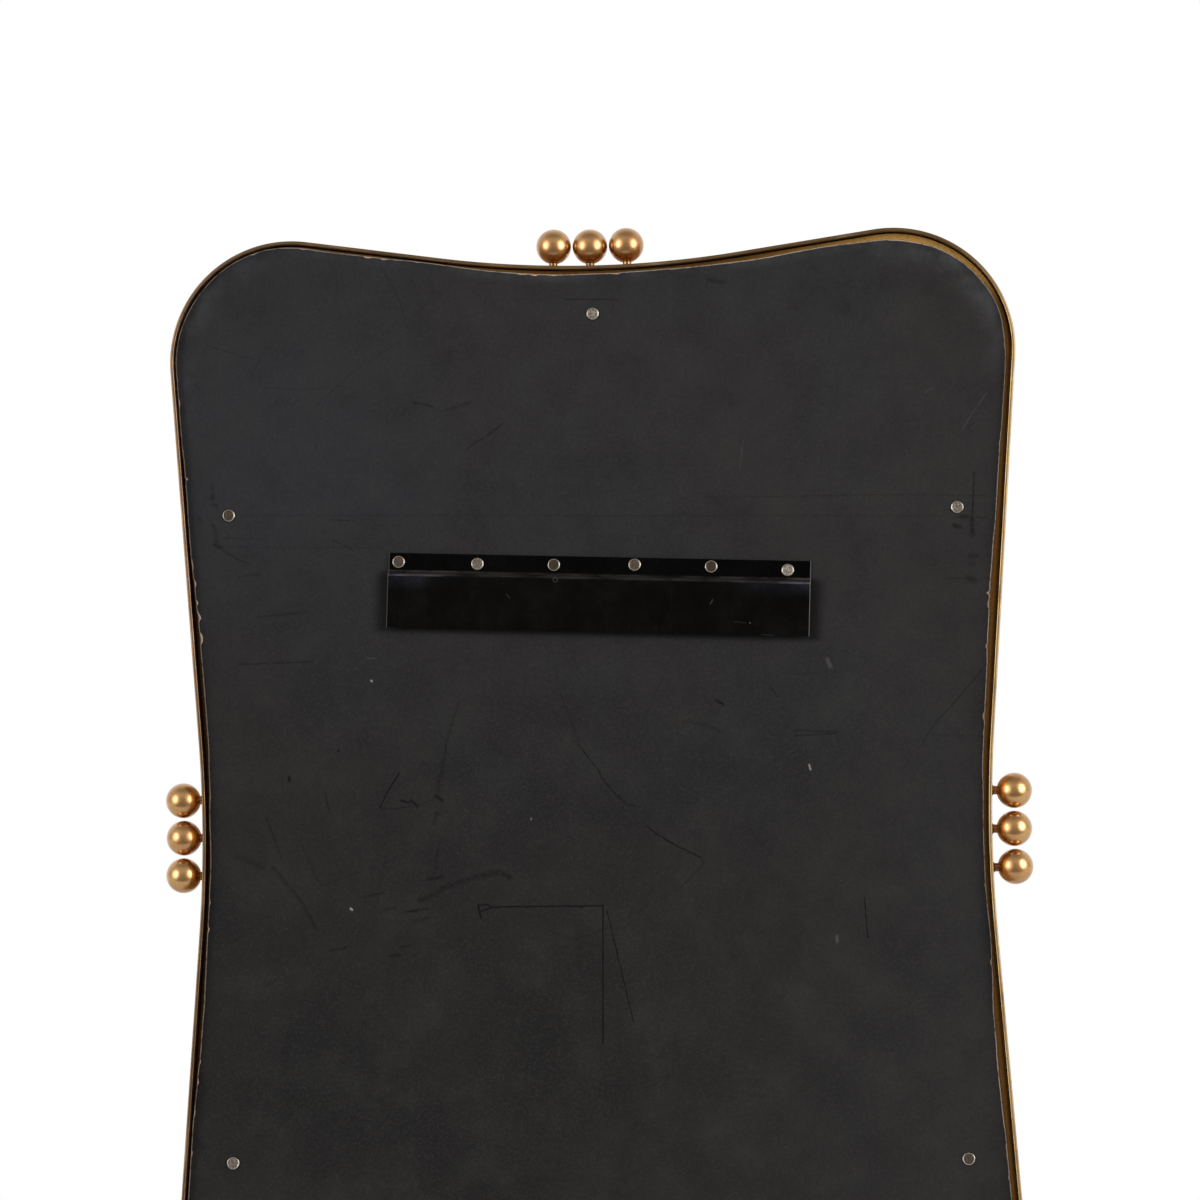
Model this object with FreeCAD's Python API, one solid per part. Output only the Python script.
import FreeCAD
import Part
import math
import os
from FreeCAD import Placement, Rotation, Vector

# A wall mirror in a curved brass frame, with three brass balls in the middle of each edge.
# All sizes are in millimetres. +Z is up, the glass faces -Y and the wall is on the +Y side.
# The origin is the middle of the frame's back rim, which lies in the plane y = 0 against the wall.
# Left and right are those of someone who looks into the glass, so right is +X.

# Outline of the frame, on the outside of the band
waist_width = 567.0            # across the hollow sides, level with the side balls
dip_height = 819.0             # between the hollows of the top and bottom edges
side_curve_radius = 965.0      # hollow curve at each waist
side_lean = 4.17               # degrees that the straight flanks lean outwards
top_curve_radius = 765.0       # hollow curve of the top and bottom edges
top_lean = 8.16                # degrees that those edges rise towards the shoulders
corner_radius = 87.7           # round shoulders

# Band and lip, which make the brass frame
frame_depth = 32.0             # from the wall to the front of the lip
band_thickness = 2.4
lip_thickness = 2.0
lip_width = 8.0                # flat brass border round the glass, seen from the front
rim_rounding = 0.5             # worn edges of the band's back rim
lip_rounding = 0.7             # softened front edges of the lip

# Sheets in the frame, from the back to the front
recess_depth = 6.4             # from the wall to the back board
board_thickness = 5.0
board_edge_thickness = 1.6     # rebated edge of the board, which lies on the liner
board_slot = 3.0               # open slot between the band and the edge of the board
board_shift = 1.1              # of the board towards +X
packing_thickness = 2.0
glass_thickness = 4.0
packing_clearance = 1.5
glass_clearance = 1.0

# Liner, a brass strip bent round inside the band under the edge of the board
liner_seam = 0.8               # open line between the band and the liner
liner_width = 6.0
liner_clearance = 2.2          # between the liner and the board's full thickness

# Wooden blocks glued in the band, which carry the back board and press on the packing
block_width = 45.0             # along the band
block_reach = 46.0             # from the band inwards
block_rounding = 8.0           # inner corners
block_glue_line = 0.2
side_block_height = 231.0      # above and below the middle

# Nails with flat round heads
nail_inset = 34.8              # from the outside of the band to the board nails
nail_head_radius = 4.75
nail_head_thickness = 1.2
nail_head_rounding = 0.45
nail_shank_radius = 1.35
nail_length = 14.0             # under the head
nail_point_length = 3.0
nail_clearance = 0.05

# Hanging cleat, bent from sheet steel and nailed on a little out of level
cleat_length = 304.8
cleat_sheet = 1.5
cleat_strip_height = 12.9      # flat strip that lies on the board
cleat_step_height = 3.0        # slanted web between the strip and the flange
cleat_flange_height = 38.4     # hanging flange
cleat_pocket_gap = 4.6         # between the board and the flange
cleat_bend_radius = 1.0        # inside of each bend
cleat_lean = 2.1               # degrees, with the +X end higher
cleat_shift = 5.2              # of its middle towards -X
cleat_top = 198.5              # height of its upper edge in the middle
cleat_nail_end = 7.2           # from the +X end to the first nail
cleat_nail_far_end = 16.6      # from the last nail to the -X end
cleat_nail_drop = 6.9          # from the upper edge to the nails
cleat_hole_clearance = 0.25

# How far each nail was driven off its place: along and up for the cleat's, from the +X end,
# and towards +X and up for the board's
cleat_nail_drift = ((0.0, 0.3), (-1.0, 0.0), (-0.2, 0.4), (-2.3, 1.7), (-1.2, 1.5), (0.0, 0.1))
board_nail_drift = {"top": (-2.2, 0.4), "upper_left": (0.6, -3.4), "upper_right": (1.0, -0.4)}

# Wooden batten behind the board, which takes the cleat's nails
batten_overhang = 13.0         # past each end of the cleat
batten_height = 40.0
batten_rounding = 3.0

# Brass balls, each screwed on from inside the band over a collar
balls_per_cluster = 3
ball_radius = 12.7
side_ball_pitch = 27.1
top_ball_pitch = 26.4
collar_gap = 3.2               # from the band to the ball
collar_radius = 3.1
collar_foot_radius = 3.8       # flared foot on the band
collar_foot_height = 0.6
collar_flare_height = 0.8
screw_radius = 2.0
screw_head_radius = 3.8
screw_head_height = 1.8
screw_head_sink = 0.1          # below the inside of the band
screw_engagement = 8.0         # thread inside the ball
screw_hole_spare = 1.5         # hole left beyond the screw's tip
screw_tip_chamfer = 0.5
screw_clearance = 0.05
screw_slot_width = 0.9
screw_slot_depth = 0.9
collar_bore_clearance = 0.1

# How far a cutting shape runs past what it cuts, and how exactly a plane is met
overrun = 2.0
plane_tolerance = 0.001

X_AXIS = Vector(1, 0, 0)
Y_AXIS = Vector(0, 1, 0)
Z_AXIS = Vector(0, 0, 1)
QUARTERS = ((1, 1), (-1, 1), (-1, -1), (1, -1))

# Planes of the stack, from the wall forwards
board_back = -recess_depth
board_front = board_back - board_thickness
liner_back = board_back - board_edge_thickness
lip_back = -frame_depth + lip_thickness
glass_back = lip_back + glass_thickness
packing_back = glass_back + packing_thickness
ball_depth = -frame_depth / 2

# Insets of the liner and the board from the outside of the band
liner_outer = band_thickness + liner_seam
liner_inner = liner_outer + liner_width
board_edge_inset = band_thickness + board_slot
board_body_inset = liner_inner + liner_clearance

# Centres of the outline's curves and the directions that point into the frame from its flanks
side_angle = math.radians(side_lean)
top_angle = math.radians(top_lean)
side_centre = Vector(waist_width / 2 + side_curve_radius, 0, 0)
top_centre = Vector(0, 0, dip_height / 2 + top_curve_radius)
side_inward = Vector(-math.cos(side_angle), 0, math.sin(side_angle))
top_inward = Vector(math.sin(top_angle), 0, -math.cos(top_angle))
side_joint = side_centre + side_inward * side_curve_radius
top_joint = top_centre + top_inward * top_curve_radius


def find_corner_centre():
    """Centre of the shoulder arc, which touches both straight flanks."""
    side_offset = side_joint.dot(side_inward) + corner_radius
    top_offset = top_joint.dot(top_inward) + corner_radius
    cross = side_inward.x * top_inward.z - side_inward.z * top_inward.x
    x = (side_offset * top_inward.z - top_offset * side_inward.z) / cross
    z = (top_offset * side_inward.x - side_offset * top_inward.x) / cross
    return Vector(x, 0, z)


corner_centre = find_corner_centre()


def flipped(point, sign_x, sign_z):
    """The same point in another quarter of the outline."""
    return Vector(sign_x * point.x, point.y, sign_z * point.z)


def line(start, end):
    return Part.makeLine(start, end)


def arc(start, middle, end):
    return Part.Arc(start, middle, end).toShape()


def outline_face(inset):
    """Flat face in the plane y = 0, inside the frame's outline drawn in by inset."""
    waist = Vector(waist_width / 2 - inset, 0, 0)
    dip = Vector(0, 0, dip_height / 2 - inset)
    side_end = side_centre + side_inward * (side_curve_radius + inset)
    top_end = top_centre + top_inward * (top_curve_radius + inset)
    bend = corner_radius - inset
    low_corner = corner_centre - side_inward * bend
    high_corner = corner_centre - top_inward * bend
    diagonal = (side_inward + top_inward).normalize()
    mid_corner = corner_centre - diagonal * bend
    edges = []
    for signs in QUARTERS:
        edges.append(line(flipped(side_end, *signs), flipped(low_corner, *signs)))
        edges.append(arc(*[flipped(p, *signs) for p in (low_corner, mid_corner, high_corner)]))
        edges.append(line(flipped(high_corner, *signs), flipped(top_end, *signs)))
    for sign in (1, -1):
        edges.append(arc(flipped(side_end, sign, 1), flipped(waist, sign, 1), flipped(side_end, sign, -1)))
        edges.append(arc(flipped(top_end, 1, sign), flipped(dip, 1, sign), flipped(top_end, -1, sign)))
    return Part.Face(Part.Wire(Part.sortEdges(edges)[0]))


def outline_plate(inset, front, back):
    """Plate with the frame's outline drawn in by inset, between two depths."""
    face = outline_face(inset)
    face.translate(Vector(0, front, 0))
    return face.extrude(Vector(0, back - front, 0))


def outline_ring(outer_inset, inner_inset, front, back):
    """Ring between two insets of the frame's outline."""
    hollow = outline_plate(inner_inset, front - overrun, back + overrun)
    return outline_plate(outer_inset, front, back).cut(hollow)


def rounded_at(solid, depth, radius):
    """The solid with all its edges in the plane y = depth rounded."""
    chosen = []
    for edge in solid.Edges:
        ends = [vertex.Point.y for vertex in edge.Vertexes]
        if max(abs(end - depth) for end in ends) < plane_tolerance:
            chosen.append(edge)
    return solid.makeFillet(radius, chosen)


def turned_solid(profile):
    """Solid turned about +Z from a closed profile of (radius, height) corners."""
    points = [Vector(radius, 0, height) for radius, height in profile]
    face = Part.Face(Part.makePolygon(points + points[:1]))
    return face.revolve(Vector(), Z_AXIS, 360)


def placed(solid, foot, direction):
    """Copy of a solid made along +Z at the origin, now along direction at foot."""
    copy = solid.copy()
    copy.Placement = Placement(foot, Rotation(Z_AXIS, direction))
    return copy


def ball_seats():
    """Where each ball stands on the band: cluster name, then (foot, outward direction) pairs."""
    standoff = collar_gap + ball_radius
    side_step = side_ball_pitch / (side_curve_radius - standoff)
    top_step = top_ball_pitch / (top_curve_radius - standoff)
    middle = (balls_per_cluster - 1) / 2
    seats = {"right": [], "left": [], "top": [], "bottom": []}
    for index in range(balls_per_cluster):
        side_turn = (middle - index) * side_step
        top_turn = (index - middle) * top_step
        side_way = Vector(math.cos(side_turn), 0, -math.sin(side_turn))
        top_way = Vector(-math.sin(top_turn), 0, math.cos(top_turn))
        side_foot = side_centre - side_way * side_curve_radius
        top_foot = top_centre - top_way * top_curve_radius
        for name, foot, way, signs in (
            ("right", side_foot, side_way, (1, 1)),
            ("left", side_foot, side_way, (-1, 1)),
            ("top", top_foot, top_way, (1, 1)),
            ("bottom", top_foot, top_way, (1, -1)),
        ):
            seat = flipped(foot, *signs) + Vector(0, ball_depth, 0)
            seats[name].append((seat, flipped(way, *signs)))
    return seats


def spot_depth():
    """How deep the flat for the collar is cut into the ball."""
    return ball_radius - math.sqrt(ball_radius ** 2 - collar_radius ** 2)


def collar_end():
    """Height above the band at which the collar meets the ball's flat."""
    return collar_gap + spot_depth()


def make_ball():
    """Ball with a flat for its collar and a blind hole for its screw."""
    ball = Part.makeSphere(ball_radius, Vector(0, 0, collar_gap + ball_radius))
    ball = ball.cut(Part.makeCylinder(ball_radius, collar_end()))
    hole_length = screw_engagement + screw_hole_spare + overrun
    hole_start = Vector(0, 0, collar_end() - overrun)
    return ball.cut(Part.makeCylinder(screw_radius + screw_clearance, hole_length, hole_start))


def make_collar(foot, direction):
    """Turned collar between the band and one ball, with a flared foot that follows the band."""
    bore = screw_radius + collar_bore_clearance
    flare_top = collar_foot_height + collar_flare_height
    collar = turned_solid([
        (bore, -band_thickness / 2),
        (collar_foot_radius, -band_thickness / 2),
        (collar_foot_radius, collar_foot_height),
        (collar_radius, flare_top),
        (collar_radius, collar_end()),
        (bore, collar_end()),
    ])
    return placed(collar, foot, direction).cut(frame_blank)


def screw_form(clearance):
    """Countersunk screw along +Z without its slot, grown by clearance."""
    head_face = -band_thickness + screw_head_sink
    neck = head_face + screw_head_height
    tip = collar_end() + screw_engagement
    shank = screw_radius + clearance
    return turned_solid([
        (0, head_face),
        (screw_head_radius + clearance, head_face),
        (shank, neck),
        (shank, tip - screw_tip_chamfer),
        (shank - screw_tip_chamfer, tip),
        (0, tip),
    ])


def make_screw():
    """Screw with a slot across its countersunk head."""
    slot_length = 2 * (screw_head_radius + overrun)
    corner = Vector(-slot_length / 2, -screw_slot_width / 2, -band_thickness - overrun)
    slot_height = overrun + screw_head_sink + screw_slot_depth
    slot = Part.makeBox(slot_length, screw_slot_width, slot_height, corner)
    return screw_form(0).cut(slot)


def make_screw_hole():
    """Countersunk hole for the screw, open to the inside of the band."""
    start = Vector(0, 0, -band_thickness - overrun)
    head_room = Part.makeCylinder(screw_head_radius + screw_clearance, overrun + screw_head_sink, start)
    return screw_form(screw_clearance).fuse(head_room)


def make_nail():
    """Flat-headed nail driven along -Z, with the underside of its head in the plane z = 0."""
    nail = turned_solid([
        (0, nail_head_thickness),
        (nail_head_radius, nail_head_thickness),
        (nail_head_radius, 0),
        (nail_shank_radius, 0),
        (nail_shank_radius, nail_point_length - nail_length),
        (0, -nail_length),
    ])
    rim = [
        edge for edge in nail.Edges
        if abs(edge.BoundBox.ZMin - nail_head_thickness) < plane_tolerance
        and abs(edge.BoundBox.ZMax - nail_head_thickness) < plane_tolerance
        and edge.BoundBox.XLength > nail_head_radius
    ]
    return nail.makeFillet(nail_head_rounding, rim)


def nail_hole(clearance, seat, point):
    """Hole that a nail with its head on the depth seat makes at a point."""
    start = Vector(point.x, seat + overrun, point.z)
    radius = nail_shank_radius + clearance
    return Part.makeCylinder(radius, nail_length + overrun, start, -Y_AXIS)


def block_seats():
    """Where each wooden block meets the outside line of the band: name, foot and inward way."""
    along = (side_block_height - side_joint.z) / math.cos(side_angle)
    flank = Vector(math.sin(side_angle), 0, math.cos(side_angle))
    side_foot = side_joint + flank * along
    dip = Vector(0, 0, dip_height / 2)
    return {
        "upper_right": (side_foot, side_inward),
        "upper_left": (flipped(side_foot, -1, 1), flipped(side_inward, -1, 1)),
        "lower_left": (flipped(side_foot, -1, -1), flipped(side_inward, -1, -1)),
        "lower_right": (flipped(side_foot, 1, -1), flipped(side_inward, 1, -1)),
        "top": (dip, -Z_AXIS),
        "bottom": (-dip, Z_AXIS),
    }


def board_nail_points():
    """Places of the board's nails by block, one over the middle of each block."""
    points = {}
    for name, (foot, way) in block_seats().items():
        drift_x, drift_z = board_nail_drift.get(name, (0, 0))
        points[name] = foot + way * nail_inset + Vector(drift_x, 0, drift_z)
    return points


def cleat_placement():
    """Where the cleat's own frame stands: its upper edge's middle on the board."""
    middle = Vector(-cleat_shift, board_back, cleat_top)
    return Placement(middle, Rotation(Y_AXIS, -cleat_lean))


def cleat_nail_points():
    """Places of the cleat's nails on the board."""
    placement = cleat_placement()
    first = cleat_length / 2 - cleat_nail_end
    pitch = (cleat_length - cleat_nail_end - cleat_nail_far_end) / (len(cleat_nail_drift) - 1)
    return [
        placement.multVec(Vector(first - index * pitch + along, 0, up - cleat_nail_drop))
        for index, (along, up) in enumerate(cleat_nail_drift)
    ]


def bent_sheet_face(path, thickness, inner_radius):
    """Face of a bent sheet seen from its end, from the middle line of the sheet in (y, z)."""
    points = [Vector(0, y, z) for y, z in path]
    middle_radius = inner_radius + thickness / 2
    sides = {1: [], -1: []}
    ways = [(b - a).normalize() for a, b in zip(points, points[1:])]
    for side in sides:
        position = points[0] + X_AXIS.cross(ways[0]) * (side * thickness / 2)
        for corner, way_in, way_out in zip(points[1:-1], ways, ways[1:]):
            turn = math.copysign(1, X_AXIS.dot(way_in.cross(way_out)))
            half = way_in.getAngle(way_out) / 2
            run = middle_radius * math.tan(half)
            centre = corner - way_in * run + X_AXIS.cross(way_in) * (turn * middle_radius)
            radius = middle_radius - turn * side * thickness / 2
            out_in = X_AXIS.cross(way_in) * (-turn * radius)
            out_out = X_AXIS.cross(way_out) * (-turn * radius)
            out_mid = (corner - centre).normalize() * radius
            sides[side].append(line(position, centre + out_in))
            sides[side].append(arc(centre + out_in, centre + out_mid, centre + out_out))
            position = centre + out_out
        end = points[-1] + X_AXIS.cross(ways[-1]) * (side * thickness / 2)
        sides[side].append(line(position, end))
    starts = [sides[side][0].firstVertex().Point for side in (1, -1)]
    ends = [sides[side][-1].lastVertex().Point for side in (1, -1)]
    edges = sides[1] + sides[-1] + [line(*starts), line(*ends)]
    return Part.Face(Part.Wire(Part.sortEdges(edges)[0]))


def make_frame_band():
    """Brass strip round the whole outline, countersunk from inside for the ball screws."""
    band = outline_ring(0, band_thickness, lip_back, 0)
    band = rounded_at(band, 0, rim_rounding)
    hole = make_screw_hole()
    for seats in ball_seats().values():
        for seat in seats:
            band = band.cut(placed(hole, *seat))
    return band


def make_front_lip():
    """Flat brass ring on the band's front edge, which holds the glass."""
    ring = outline_ring(0, lip_width, -frame_depth, lip_back)
    return rounded_at(ring, -frame_depth, lip_rounding)


def make_glass():
    """Silvered glass in one sheet."""
    return outline_plate(band_thickness + glass_clearance, lip_back, glass_back)


def make_packing():
    """Felt sheet that protects the silvering."""
    return outline_plate(band_thickness + packing_clearance, glass_back, packing_back)


def make_liner():
    """Brass strip that stands on the blocks inside the band and carries the edge of the board."""
    return outline_ring(liner_outer, liner_inner, board_front, liner_back)


def make_back_board():
    """Black fibre board with a rebated edge and the holes of its nails and the cleat's nails."""
    edge = outline_plate(board_edge_inset, liner_back, board_back)
    board = edge.fuse(outline_plate(board_body_inset, board_front, board_back)).removeSplitter()
    board.translate(Vector(board_shift, 0, 0))
    for point in board_nail_points().values():
        board = board.cut(nail_hole(nail_clearance, board_back, point))
    for point in cleat_nail_points():
        board = board.cut(nail_hole(nail_clearance, board_back + cleat_sheet, point))
    return board


def make_block(foot, way, nail_point):
    """Wooden block glued to the band, from the packing to the board."""
    thickness = board_front - packing_back
    block = Part.makeBox(block_width, thickness, block_reach + band_thickness)
    block.translate(Vector(-block_width / 2, 0, 0))
    reach_end = block_reach + band_thickness
    corners = [
        edge for edge in block.Edges
        if abs(edge.BoundBox.ZMin - reach_end) < plane_tolerance
        and edge.BoundBox.XLength < plane_tolerance
    ]
    block = block.makeFillet(block_rounding, corners)
    block.Placement = Placement(foot + Vector(0, packing_back, 0), Rotation(way.cross(-Y_AXIS), Y_AXIS, way))
    block = block.common(frame_hollow)
    return block.cut(nail_hole(nail_clearance, board_back, nail_point))


def make_batten():
    """Wooden batten on the front of the board, behind the cleat."""
    thickness = board_front - packing_back
    length = cleat_length + 2 * batten_overhang
    middle = cleat_top - cleat_nail_drop
    corner = Vector(-length / 2 - cleat_shift, packing_back, middle - batten_height / 2)
    batten = Part.makeBox(length, thickness, batten_height, corner)
    corners = [edge for edge in batten.Edges if edge.BoundBox.YLength > thickness - plane_tolerance]
    batten = batten.makeFillet(batten_rounding, corners)
    for point in cleat_nail_points():
        batten = batten.cut(nail_hole(nail_clearance, board_back + cleat_sheet, point))
    return batten


def make_cleat():
    """Hanging cleat: a strip on the board, a slanted web and a flange that hooks over a wall bar."""
    strip_middle = cleat_sheet / 2
    flange_middle = cleat_pocket_gap + cleat_sheet / 2
    step_end = -cleat_strip_height - cleat_step_height
    face = bent_sheet_face(
        [
            (strip_middle, 0),
            (strip_middle, -cleat_strip_height),
            (flange_middle, step_end),
            (flange_middle, step_end - cleat_flange_height),
        ],
        cleat_sheet,
        cleat_bend_radius,
    )
    face.translate(Vector(-cleat_length / 2, 0, 0))
    cleat = face.extrude(Vector(cleat_length, 0, 0))
    cleat.Placement = cleat_placement()
    for point in cleat_nail_points():
        cleat = cleat.cut(nail_hole(cleat_hole_clearance, board_back + cleat_sheet, point))
    return cleat


def make_nails(points, seat):
    """Nails with their heads on the depth seat."""
    nail = make_nail()
    return Part.makeCompound([placed(nail, Vector(p.x, seat, p.z), Y_AXIS) for p in points])


frame_blank = outline_plate(0, -frame_depth, 0)
frame_hollow = outline_plate(band_thickness + block_glue_line, -frame_depth, 0)


def make_nodes():
    """Every sub-part by name."""
    nodes = {
        "frame_band": make_frame_band(),
        "front_lip": make_front_lip(),
        "mirror_glass": make_glass(),
        "glass_packing": make_packing(),
        "back_liner": make_liner(),
        "back_board": make_back_board(),
        "cleat_batten": make_batten(),
        "hanging_cleat": make_cleat(),
        "board_nails": make_nails(board_nail_points().values(), board_back),
        "cleat_nails": make_nails(cleat_nail_points(), board_back + cleat_sheet),
    }
    nail_points = board_nail_points()
    for name, seat in block_seats().items():
        nodes["fixing_block_" + name] = make_block(*seat, nail_points[name])
    ball = make_ball()
    screw = make_screw()
    for cluster, seats in ball_seats().items():
        for number, seat in enumerate(seats, 1):
            nodes[f"ball_{cluster}_{number}"] = placed(ball, *seat)
        nodes["ball_collars_" + cluster] = Part.makeCompound([make_collar(*seat) for seat in seats])
        nodes["ball_screws_" + cluster] = Part.makeCompound([placed(screw, *seat) for seat in seats])
    return nodes


os.makedirs("parts", exist_ok=True)
for node_name, node_shape in make_nodes().items():
    node_shape.exportStep(f"parts/{node_name}.step")
